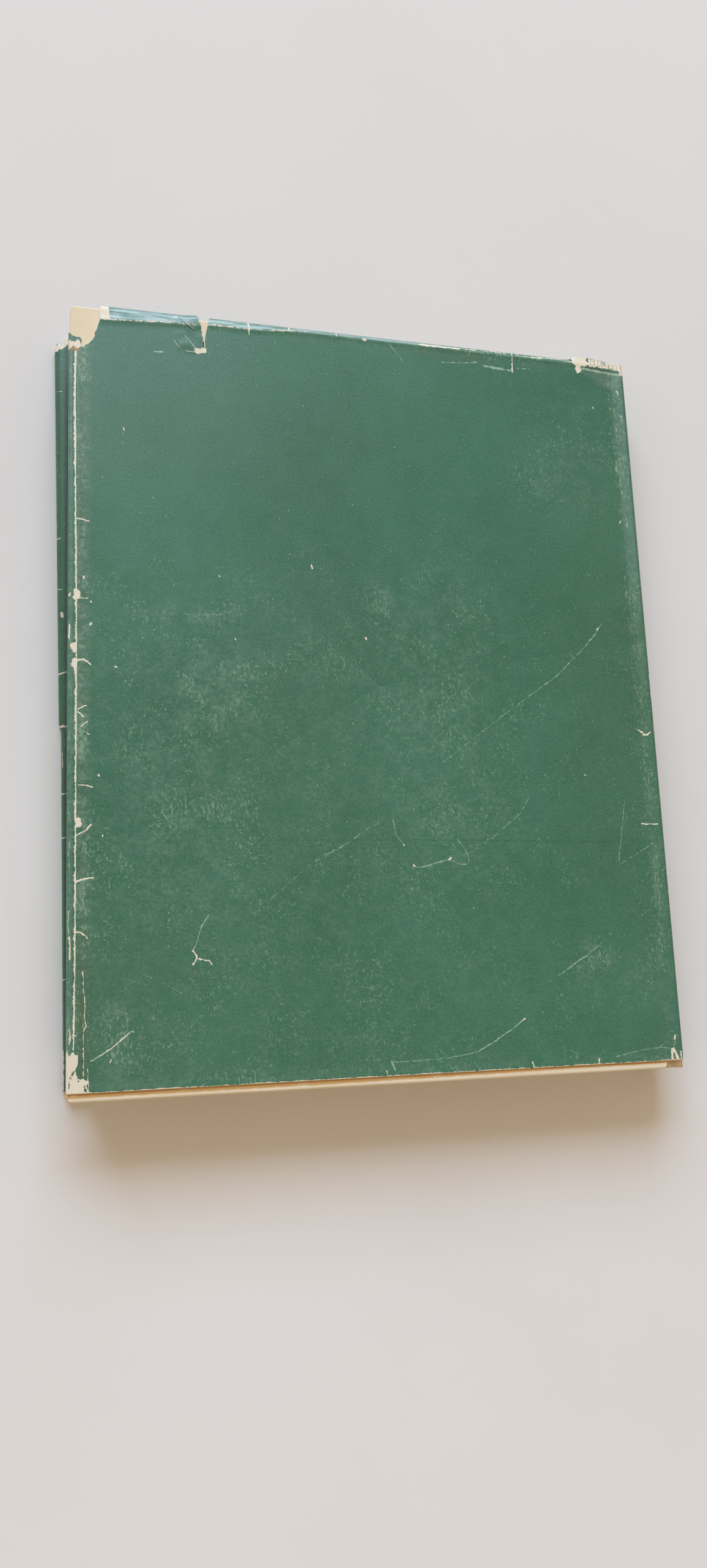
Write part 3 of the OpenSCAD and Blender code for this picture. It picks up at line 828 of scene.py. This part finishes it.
def makeSheet(name, bm, place, marks, outward, materials, thickness, zones=()):
    # Lays the flat mesh along its place function and gives the paper its thickness.
    # The materials are the outer face's, one a zone, then the inner face's and the cut edge's.
    uvLayer = bm.loops.layers.uv.new("sheet")
    layers = {label: bm.verts.layers.float.new(label) for label in sheetMarks}
    for face in bm.faces:
        face.smooth = True
        middle = face.calc_center_median() / mm
        for index, (low, high) in enumerate(zones):
            if low[0] <= middle.x <= high[0] and low[1] <= middle.y <= high[1]:
                face.material_index = index
        for loop in face.loops:
            loop[uvLayer].uv = loop.vert.co.xy
    for vert in bm.verts:
        u, v = vert.co.x, vert.co.y
        for label, value in marks(u / mm, v / mm).items():
            vert[layers[label]] = min(1.0, max(0.0, value))
        vert.co = place(u, v)
    if outward < 0:
        bmesh.ops.reverse_faces(bm, faces=bm.faces)
    mesh = bpy.data.meshes.new(name)
    bm.to_mesh(mesh)
    bm.free()
    draft = addObject(name + "Draft", mesh)
    outerCount = max(1, len(zones))
    for material in materials[:outerCount] + [materials[-2]] * outerCount + [materials[-1]]:
        mesh.materials.append(material)
    solid = draft.modifiers.new("paper", "SOLIDIFY")
    solid.thickness = thickness
    solid.offset = 0
    solid.material_offset = outerCount
    solid.material_offset_rim = 2 * outerCount
    graph = bpy.context.evaluated_depsgraph_get()
    final = bpy.data.meshes.new_from_object(draft.evaluated_get(graph), depsgraph=graph)
    bpy.data.objects.remove(draft)
    return addObject(name, final)


jacket = {
    "paper": 0.16 * mm,
    "flap": 80 * mm,
    "air": 0.125 * mm,               # from the jacket's place in the solids to the middle of the paper
    "curlStart": headY - 0.7 * mm,   # the head edge bends down from here
    "curlR": 2.45 * mm,              # radius of that bend
    "curlTurn": 1.38,                # radians
    "headEdge": headY + 1.7 * mm,    # where the head edge lies flat
    "groove": 0.35 * mm,             # sag over the joint
    "wave": 0.1 * mm,
    "tailLift": 0.12 * mm,
    "footRidge": 0.2 * mm,           # the worn line where the head bend starts
    "crumple": 0.16 * mm,            # creases beside the torn notch
    "crackDip": 0.12 * mm,           # the fold's crack, and the lip beside it
    "crackLip": 0.1 * mm,
    "notchLift": 0.5 * mm,           # the paper stands up beside the torn notch
    "backProud": 0.3 * mm,           # the back fold stands out past the board
    "frontProud": 3.75 * mm,         # the front fold stands out at the head, and less towards the tail
    "frontAtTail": 0.45 * mm,
    "roundFrom": 0.6 * mm,           # a fold that stands out further is round
    "stepAt": -11.2 * mm,            # a crack in the front fold, where it steps in
    "step": 1.4 * mm,
}
flapEnd = foreX + jacket["flap"]
headFlat = jacket["curlStart"] + jacket["curlR"] * jacket["curlTurn"]
outerH = midZ - jacket["air"]        # heights of the panel and the flap, from the middle plane
flapH = pasteIn - jacket["air"]
arcSteps = 24


def arcPoints(radius, toHeight, count):
    # Points round the spine, from its middle up to a height
    end = math.asin(toHeight / radius)
    turns = [end * k / count for k in range(count + 1)]
    return [(arcX + radius * math.cos(a), radius * math.sin(a)) for a in turns]


def jacketPath(proud):
    # Round the spine, along the panel, round the fore edge and back along the flap
    points = arcPoints(jacketR - jacket["air"], outerH, arcSteps)
    if proud > jacket["roundFrom"]:
        middle, half = (outerH + flapH) / 2, (outerH - flapH) / 2
        turns = [math.pi * k / 12 for k in range(13)]
        points += [(foreX - proud * math.sin(a), middle + half * math.cos(a)) for a in turns]
    else:
        points += [(foreX - proud, outerH), (foreX - proud, flapH)]
    points.append((flapEnd + 20 * mm, flapH))     # a little past the flap's end
    at, runs = pathFinder(points)
    return at, runs[arcSteps] + points[arcSteps][0]


def frontProud(v):
    share = (v - tailY) / (headY - tailY)
    behind = softStep(-jacket["stepAt"] - 0.5 * mm, 0.5 * mm - jacket["stepAt"], -v)
    reach = jacket["frontProud"] - jacket["step"] * behind
    return max(jacket["roundFrom"] + 0.02 * mm, jacket["frontAtTail"] + reach * share)


def backProud(v):
    return jacket["backProud"]


def curlFoot(u):
    # Worn line where the jacket starts to bend over the head, in mm
    return 115.7 + 1.4 * softStep(-86, -60, u) + 0.8 * softStep(-54, -50, u) + 1.3 * softStep(-38, -20, u)


def backRelief(u, v, panelness, faceness):
    # What the back panel's waves, worn lines and creases add to its height
    out = jacket["wave"] * (0.6 + ripple(u, v, 45 * mm, 3.0)) * panelness
    out += jacket["tailLift"] * faceness * (1 - softStep(jacketTail, jacketTail + 4 * mm, v))
    out -= jacket["crackDip"] * mound(u, -92.8 * mm, 0.5 * mm)
    out += jacket["crackLip"] * mound(u, -91.6 * mm, 0.8 * mm)
    out += jacket["footRidge"] * mound(v / mm, curlFoot(u / mm), 1.1) * panelness
    creased = within(-62, -53.2, 0.8, u / mm) * within(108.5, 123, 1.2, v / mm)
    out += jacket["crumple"] * creased * (0.55 + 1.1 * ripple(u, v, 3.0 * mm, 5.0))
    return out + jacket["notchLift"] * mound(u, -55.5 * mm, 2.2 * mm) * softStep(116 * mm, 121 * mm, v)


def jacketPlace(side):
    proudAt = backProud if side > 0 else frontProud
    paths = {}

    def place(u, v):
        proud = round(proudAt(v) / (0.05 * mm)) * 0.05 * mm
        if proud not in paths:
            paths[proud] = jacketPath(proud)
        at, middle = paths[proud]
        x, h = softPath(at, middle - u, 0.55 * mm)
        flapness = 1 - softStep(flapH, outerH, h) if u < 0 else 0
        spineness = softStep(jointX + 3 * mm, jointX + 9 * mm, u)
        panelness = softStep(foreX, foreX + 6 * mm, u) * (1 - softStep(jointX - 3 * mm, jointX, u))
        over = max(v - jacket["curlStart"], 0)
        spread = (jacket["headEdge"] - jacket["curlStart"]) / (headFlat - jacket["curlStart"])
        flatY = v - over * (1 - spread)
        turn = over / jacket["curlR"]
        loose = within(76, 97, 1, u / mm) if side > 0 else 0     # torn strip that stands straight out
        bend = (1 - flapness) * (1 - spineness) * (1 - loose)
        curlY = jacket["curlStart"] + jacket["curlR"] * math.sin(turn) if turn > 0 else v
        y = flatY + (curlY - flatY) * bend + (v - flatY) * loose
        out = -jacket["curlR"] * (1 - math.cos(turn)) * bend
        out -= jacket["groove"] * mound(x, jointX + 2.8 * mm, 1.9 * mm) * (1 if side > 0 else 0.4)
        if side > 0:
            out += backRelief(u, v, panelness, (1 - flapness) * (1 - spineness))
        return x, y, midZ + side * (h + out)

    return place


# Rubbed patches of the back panel: strength, then low, high and softness across and along
rubPatches = [
    (0.34, (-63, -41, 6), (-14, 8, 7)),
    (0.20, (-78, -44, 9), (-72, -20, 10)),
    (0.42, (-84, -78, 4), (-116, -90, 6)),
    (0.14, (4, 40, 12), (-60, 40, 16)),
    (0.22, (60, 90, 8), (-100, -84, 7)),
    (0.30, (62, 74, 3), (-90, -80, 3)),
    (0.14, (60, 92, 9), (60, 104, 9)),
    (0.32, (-2, 6, 3), (24, 33, 3)),
    (0.20, (52, 74, 8), (68, 84, 6)),
    (0.30, (-76, -44, 3), (19, 23, 1.5)),
]


def backMarks(u, v):
    foot = curlFoot(u)
    shakenU, shakenV = u + 1.1 * ripple(u, v, 1.6, 7.0), v + 1.1 * ripple(u, v, 1.6, 8.0)
    band = within(foot, 120.5, 0.25, v)
    patches = sum(much * within(*across, u) * within(*along, v) for much, across, along in rubPatches)
    spineRub = 0.42 * mound(u, 91.5, 2.4) + 0.45 * mound(u, 95.6, 1.0) + 0.4 * softStep(97, 99, u)
    spineRub += 0.12 * within(89, 96, 1, u) * softStep(-10, 60, v)
    headRub = 0.25 * softStep(114, 119, v) + 0.5 * within(foot - 0.5, foot + 0.4, 0.3, v)
    lensFoot = 115.4 - 4.7 * mound(u, 88.5, 6.2)
    lens = within(79.5, 95.5, 1, u) * softStep(lensFoot, lensFoot + 0.7, v)
    strip = within(82, 94, 0.4, u) * within(118.2, 122, 0.2, v)
    worn = (1 - softStep(5, 65, v)) * (1 - 0.55 * softStep(10, 60, u))
    rubbed = 0.05 + 0.22 * worn + 0.5 * mound(u, -94.7, 0.5) + 0.2 * (1 - softStep(-92.5, -90.5, u))
    rubbed += spineRub + patches + headRub
    rubbed += 0.1 * lens + 0.9 * strip + 0.22 * (1 - softStep(-118.6, -112, v))
    rubbed += 0.75 * mound(u, -90.6, 1.5) * softStep(-93, -70, v)
    tailWorn = (1 - softStep(-109.4, -106.2, shakenV)) * within(-98.6, -92, 0.6, shakenU)
    tailWorn = max(tailWorn, within(-97, -89.5, 1, shakenU) * (1 - softStep(-116.2, -114.6, shakenV)))
    bared = tailWorn * (0.88 + 1.1 * ripple(u, v / 5, 0.9, 2.0)) + 0.75 * (1 - softStep(-118.9, -118.35, v))
    bared += 0.6 * within(foot - 0.35, foot + 0.35, 0.3, v) * (1 - softStep(-40, 10, u))
    bared += within(-86.5, -82.9, 0.2, u) * softStep(115.4, 115.9, v)
    bared += within(-97.6, -91.2, 0.4, shakenU) * within(104.9, 107.3, 0.3, shakenV)
    bared += within(76.2, 81.6, 0.4, shakenU) * softStep(118.2, 118.8, shakenV)
    bared += 0.9 * within(76.9, 79.2, 0.3, shakenU) * within(115.7, 119, 0.3, shakenV)
    bared += within(93.7, 99, 0.3, shakenU) * softStep(115.8, 116.4, shakenV) + 0.6 * strip
    bared += 0.5 * mound(u, -95.6, 0.5) * within(-60, 100, 10, v) * (0.3 + ripple(u, v, 6, 4.0))
    stained = 0.85 * mound(shakenU, -92.9, 1.9) * mound(shakenV, 104.5, 1.0)
    stained += 0.5 * mound(u, -59, 1.5) * mound(v, -87, 2)
    grimed = 0.52 * mound(u, -90.7, 1.7) + 0.35 * within(18, 46, 4, u) * within(114.5, 119, 1, v)
    grimed += 0.3 * strip + 0.4 * lens + 0.25 * (ripple(u, v, 60, 9.0) + 0.2)
    # Painted shade: a dark line along the top of the head's bend and along the spine's edge
    darkened = 0.75 * softStep(120.6, 121, v) * (1 - softStep(30, 50, u)) + 0.5 * mound(u, 94.7, 0.5)
    # Sun fading together with painted sheen: the band over the head's bend and the fore-edge and spine
    # bands; the head-left term is painted sheen only
    faded = band * (1 - 0.4 * within(-61, -53, 4, u)) * (1 - softStep(22, 32, u))
    faded += 0.1 * within(-94.4, -93.5, 0.3, u) + 0.13 * within(90.5, 95, 1, u) * softStep(-10, 60, v)
    faded += 0.08 * lens + 0.07 * (1 - softStep(-80, -10, u)) * softStep(20, 110, v)
    return dict(zip(sheetMarks, (rubbed, bared, stained, grimed, darkened, faded)))


def frontMarks(u, v):
    # Round the fold, share runs from 0 at the outer face to 1 at the flap; 0.5 stands furthest out
    proud, half = frontProud(v * mm) / mm, (outerH - flapH) / 2 / mm
    share = (foreX / mm - u) / (math.pi * math.sqrt((proud ** 2 + half ** 2) / 2))
    visible = within(0.42, 1.1, 0.04, share)
    tornLine = 112.8 + 2.2 * softStep(0.5, 1.0, share) + 1.4 * ripple(u, v, 1.6, 6.0)
    bared = visible * softStep(tornLine - 0.3, tornLine + 0.3, v) * (0.8 + ripple(u, v, 1.2, 5.0))
    rubbed = 0.08 + 0.35 * mound(share, 0.5, 0.1) + 0.4 * softStep(95, 98, u) + 0.6 * mound(u, 90.4, 1.6)
    # Painted shade where the back cover overhangs the fold and on the flap side, less where the paper is
    # torn bare
    darkened = (0.36 * visible + 0.34 * within(0.86, 1.25, 0.08, share)) * (1 - 0.8 * min(1, bared))
    # Painted shade: the grime mark over the visible fold only darkens it as shade
    return dict(zip(sheetMarks, (rubbed, bared, 0.0, 0.2 * visible, darkened, 0.0)))


def bendWithCover(piece):
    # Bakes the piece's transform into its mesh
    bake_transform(piece)


def jacketSheet(label, marks, losses, prints, zones=()):
    # The grid is finer at the edges, the folds, the torn notch and the joint
    centre = jacketPath(jacket["backProud"])[1]
    fold = outerH - flapH
    rows = stations(
        (jacketTail, jacketTail + 1.2 * mm, 0.3 * mm),
        (jacketTail + 1.2 * mm, jacketTail + 12 * mm, 0.8 * mm),
        (jacketTail + 12 * mm, headY - 18 * mm, 2.0 * mm),
        (headY - 18 * mm, headY - 4.5 * mm, 0.75 * mm),
        (headY - 4.5 * mm, headFlat, 0.4 * mm),
    )
    columns = stations(
        (2 * foreX - flapEnd - fold, foreX - 11 * mm, 2.8 * mm),
        (foreX - 11 * mm, foreX + 5 * mm, 0.42 * mm),
        (foreX + 5 * mm, -64 * mm, 2.0 * mm),
        (-64 * mm, -50 * mm, 0.7 * mm),
        (-50 * mm, 74 * mm, 2.0 * mm),
        (74 * mm, jointX - 3 * mm, 0.6 * mm),
        (jointX - 3 * mm, jointX + 8 * mm, 0.45 * mm),
        (jointX + 8 * mm, centre, 0.9 * mm),
    )
    bm = flatGrid(columns, rows)
    for outline in losses:
        cutAway(bm, outline)
    papers = [finishes[name] for name in list(prints) + ["inside", "fibre"]]
    side = sides[label]
    piece = makeSheet("jacket" + label, bm, jacketPlace(side), marks, side, papers, jacket["paper"], zones)
    bendWithCover(piece)
    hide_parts("jacket_" + label.lower(), "jacket_spine")
    print("sheet:", piece.name, len(piece.data.polygons), "faces")


# Outlines of what is lost, in mm on the flat sheet
cornerTear = [
    (-85.5, 124), (-85.3, 119), (-85.5, 116), (-85.8, 114.3), (-86.6, 111.7), (-87.4, 108.9),
    (-89, 106.7), (-91, 105.3), (-91.4, 106.6), (-91.1, 107.9), (-91.6, 108.6), (-93.2, 108.8),
    (-95.2, 110), (-97.2, 111.4),
]
cornerLoss = raggedLine(cornerTear, 0.9, 0.5, 1.0)
cornerLoss += [(-101, 112.5), (-104.5, 111.5), (-106.5, 114), (-107, 124)]
headTear = [
    (-55.6, 124), (-50.9, 124), (-51.1, 120.4), (-51.7, 117.6), (-52.4, 114.6), (-52.65, 112.6),
    (-52.55, 109.3), (-52.9, 109.2), (-53.05, 112.6), (-53.7, 115.8), (-54.3, 118.4), (-55.2, 120.6),
]
chipTop = [
    (75.4, 124), (75.8, 120.9), (76.7, 121.6), (81.8, 122), (82, 121.6), (86.9, 121.2), (90.7, 120.7),
    (94.2, 120.2), (94.5, 120.7), (96.8, 120.6), (97.4, 119.2), (98.2, 124),
]
foldTear = [
    (-88, 125), (-89, 118), (-93, 117), (-97, 115.2), (-98.2, 114.4), (-99.2, 116), (-100, 114.2),
    (-101, 116.4), (-102.2, 114.8), (-103, 117.4), (-104.5, 118), (-106, 125),
]
backLosses = [cornerLoss, headTear, raggedLine(chipTop, 1.1, 0.5, 2.0)]
jacketSheet("Back", backMarks, backLosses, backZones, list(backZones.values()))
jacketSheet("Front", frontMarks, [raggedLine(foldTear, 0.7, 0.7, 3.0)], ["printFront"])

# Spine of the case, one half for each cover, laid round the stiffener and down into the joint
caseSpine = {
    "sheet": 0.4 * mm,
    "floor": 0.4 * mm,       # groove floor, out from the shoulder
    "edge": 0.9 * mm,        # where it meets the board
}
gutter = {
    "width": 5.4 * mm,
    "paper": 0.15 * mm,
    "outer": 0.5 * mm,       # heights over the pages, at the board and at the shoulder
    "inner": 0.1 * mm,
}


def noMarks(u, v):
    return {}


def caseSpineHalf(label):
    side = sides[label]
    lip = inlayHalf + 0.1 * mm
    outer = arcPoints(caseR - caseSpine["sheet"] / 2, lip, arcSteps)
    wallX = outer[-1][0] - 1.1 * mm
    floorH = blockHalf + caseSpine["floor"]
    route = outer + [
        (wallX, lip - 0.15 * mm), (wallX - 0.2 * mm, floorH + 0.9 * mm), (wallX - 0.8 * mm, floorH),
        (jointX + 1.2 * mm, floorH), (jointX + 0.25 * mm, blockHalf + caseSpine["edge"]),
    ]
    at, runs = pathFinder(route)
    length = runs[-1]
    bm = flatGrid(stations((-length, 0, 0.5 * mm)), stations((tailY, headY, 6 * mm)))

    def place(u, v):
        x, h = softPath(at, -u, 0.3 * mm)
        return x, v, midZ + side * h

    papers = [finishes["spineCloth"]] * 3
    piece = makeSheet("caseSpine" + label, bm, place, noMarks, side, papers, caseSpine["sheet"])
    bendWithCover(piece)
    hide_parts("spine_cloth", "spine_inlay")
    print("spine half:", piece.name, len(piece.data.polygons), "faces")


def gutterStrip(label):
    # The endpaper where it crosses the joint, a little lower at the shoulder than at the board
    side = sides[label]
    low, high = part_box(label.lower() + "_flyleaf")
    width = gutter["width"]
    bm = flatGrid(stations((-width, 0, 0.27 * mm)), stations((low.y, high.y, 6 * mm)))

    def place(u, v):
        rise = gutter["outer"] + (gutter["inner"] - gutter["outer"]) * softStep(-width, -1.5 * mm, u)
        return hingeX + u, v, midZ + side * (blockHalf + rise)

    papers = [finishes["endpaperStrip"]] * 3
    piece = makeSheet("gutter" + label, bm, place, noMarks, side, papers, gutter["paper"])
    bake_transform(piece)
    print("strip:", piece.name, len(piece.data.polygons), "faces")


for half in sides:
    caseSpineHalf(half)
    gutterStrip(half)

# Floor, light and camera
room = {
    "floor": 6.0,                            # width and depth
    "sky": 0.54,                             # strength of the light from all round
    "fill": (1.03, 0.79, 0.51, 1.0),         # warm light that fills the shadow
    "mirrored": (0.84, 0.79, 0.66, 1.0),
    "seen": (1.42, 1.42, 1.44, 1.0),         # pale background, for the camera only
}


def paleFloor():
    # Painted light: a little lighter and bluer towards the viewer
    material, tree, shader = newMaterial("paleFloor", rough=0.9, specular=0.1)
    place = objectPlace(tree)
    nearness = ramp(tree, axes(tree, place)[1], 0.25, -0.4)
    base = mixColour(tree, nearness, colour(222, 220, 222), colour(238, 238, 244))
    base = mixColour(tree, useGroup(tree, "mottle", place, 6.0, 0.15), base, colour(205, 202, 203))
    finish(tree, shader, base, cloudy(tree, place, 900.0), 0.03 * mm, strength=0.2)
    return material


floorMesh = bpy.data.meshes.new("floor")
bm = bmesh.new()
bmesh.ops.create_grid(bm, x_segments=2, y_segments=2, size=room["floor"] / 2)
bm.to_mesh(floorMesh)
bm.free()
floorMesh.materials.append(paleFloor())
floor = addObject("floor", floorMesh)

world = bpy.data.worlds.new("softRoom")
bpy.context.scene.world = world
world.use_nodes = True
skyTree = world.node_tree
sky = skyTree.nodes["Background"]
ray = addNode(skyTree, "ShaderNodeLightPath", {}).outputs
skyTone = mixColour(skyTree, ray["Is Glossy Ray"], room["fill"], room["mirrored"])
skyTone = mixColour(skyTree, ray["Is Camera Ray"], skyTone, room["seen"])
skyTree.links.new(skyTone, sky.inputs["Color"])
sky.inputs["Strength"].default_value = room["sky"]

window = {
    "place": (-0.4, 2.16, 1.52),
    "size": (2.1, 1.45),
    "power": 80.0,
    "tint": (0.64, 0.82, 1.0),
}

lamp = bpy.data.lights.new("windowLight", "AREA")
lamp.shape = "RECTANGLE"
lamp.size, lamp.size_y = window["size"]
lamp.energy = window["power"]
lamp.color = window["tint"]
lampObject = addObject("windowLight", lamp)
lampObject.location = window["place"]
aim = -Vector(window["place"])           # at the frame's origin, under the book
lampObject.rotation_euler = aim.to_track_quat("-Z", "Y").to_euler()

photoCamera = {
    "place": (-108.45 * mm, -99.55 * mm, 368.23 * mm),
    "turn": (11.339, -15.437, -2.407),       # degrees
    "lens": 27.55,
    "sensor": 36.0,
    "nearest": 10 * mm,
}
camera = bpy.data.cameras.new("photoCamera")
camera.lens = photoCamera["lens"]
camera.sensor_width = photoCamera["sensor"]
camera.clip_start = photoCamera["nearest"]
cameraObject = addObject("photoCamera", camera)
cameraObject.location = photoCamera["place"]
cameraObject.rotation_euler = [math.radians(angle) for angle in photoCamera["turn"]]
bpy.context.scene.camera = cameraObject
bpy.context.scene.view_settings.view_transform = "Standard"
print("floor, light and camera set")
